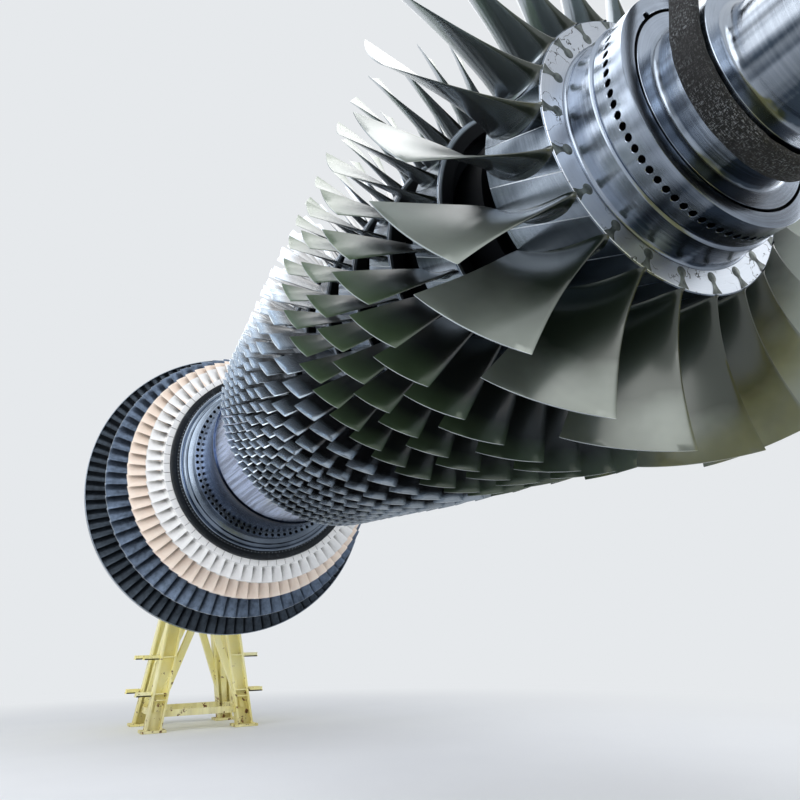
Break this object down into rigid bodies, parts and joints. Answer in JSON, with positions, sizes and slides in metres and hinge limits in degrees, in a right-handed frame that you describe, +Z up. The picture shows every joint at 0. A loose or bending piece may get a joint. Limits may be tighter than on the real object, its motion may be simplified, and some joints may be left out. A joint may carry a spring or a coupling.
{
  "type": "gas turbine rotor on trestles",
  "caption": "Bladed gas turbine rotor with compressor and turbine rows on one shaft, turning in bearing cradles on two trestles, a lifting sling round its front journal.",
  "frame": {"origin": "on the floor under the middle of the rotor's length and width", "axes": "+X along the rotor towards the compressor inlet, +Z up, +Y across"},
  "size_m": [11.28, 3.2, 4.226],
  "materials": {
    "grey_green_blades": "satin, fine coating",
    "green_coated_blades": "satin, dark green-grey coating",
    "bright_blades": "bright, lightly brushed",
    "white_coated_blades": "matt, white heat coating",
    "peach_coated_blades": "matt, peach heat coating",
    "dark_blades": "satin, dark heat tint",
    "blue_steel": "turned, bluish",
    "black_steel": "satin black",
    "polished_steel": "turned and polished",
    "dark_steel": "turned, dull",
    "bearing_bronze": "turned",
    "sling_fabric": "woven, grey flecks",
    "pale_yellow_paint": "gloss paint, worn at the edges"
  },
  "bodies": {
    "trestles": {"front_trestle_legs": "pale_yellow_paint", "front_trestle_bracing": "pale_yellow_paint", "front_trestle_head": "pale_yellow_paint", "front_cradle": "pale_yellow_paint", "front_bearing_shell": "bearing_bronze", "front_trestle_steps": "pale_yellow_paint", "rear_trestle_legs": "pale_yellow_paint", "rear_trestle_bracing": "pale_yellow_paint", "rear_trestle_head": "pale_yellow_paint", "rear_cradle": "pale_yellow_paint", "rear_bearing_shell": "bearing_bronze", "rear_trestle_steps": "pale_yellow_paint", "lifting_sling": "sling_fabric", "sling_pin": "polished_steel"},
    "rotor": {"compressor_row_01": "grey_green_blades", "compressor_row_02": "green_coated_blades", "compressor_row_03": "green_coated_blades", "compressor_row_04": "green_coated_blades", "compressor_row_05": "bright_blades", "compressor_row_06": "bright_blades", "compressor_row_07": "bright_blades", "compressor_row_08": "bright_blades", "compressor_row_09": "bright_blades", "compressor_row_10": "bright_blades", "compressor_row_11": "bright_blades", "compressor_row_12": "bright_blades", "compressor_row_13": "bright_blades", "front_hub": "polished_steel", "front_journal": "polished_steel", "front_shaft": "polished_steel", "front_coupling": "polished_steel", "middle_shaft_front": "blue_steel", "middle_shaft_rear": "blue_steel", "turbine_drilled_ring": "polished_steel", "turbine_front_cover": "black_steel", "turbine_row_1": "white_coated_blades", "turbine_row_2": "peach_coated_blades", "turbine_row_3": "dark_blades", "turbine_row_4": "dark_blades", "rear_hub": "dark_steel", "rear_shaft": "polished_steel", "rear_coupling": "polished_steel"}
  },
  "joints": [
    {"name": "rotor_spin", "type": "hinge", "parent": "trestles", "child": "rotor", "pos_m": [0, 0, 2.62], "axis": [1, 0, 0], "continuous": true}
  ]
}
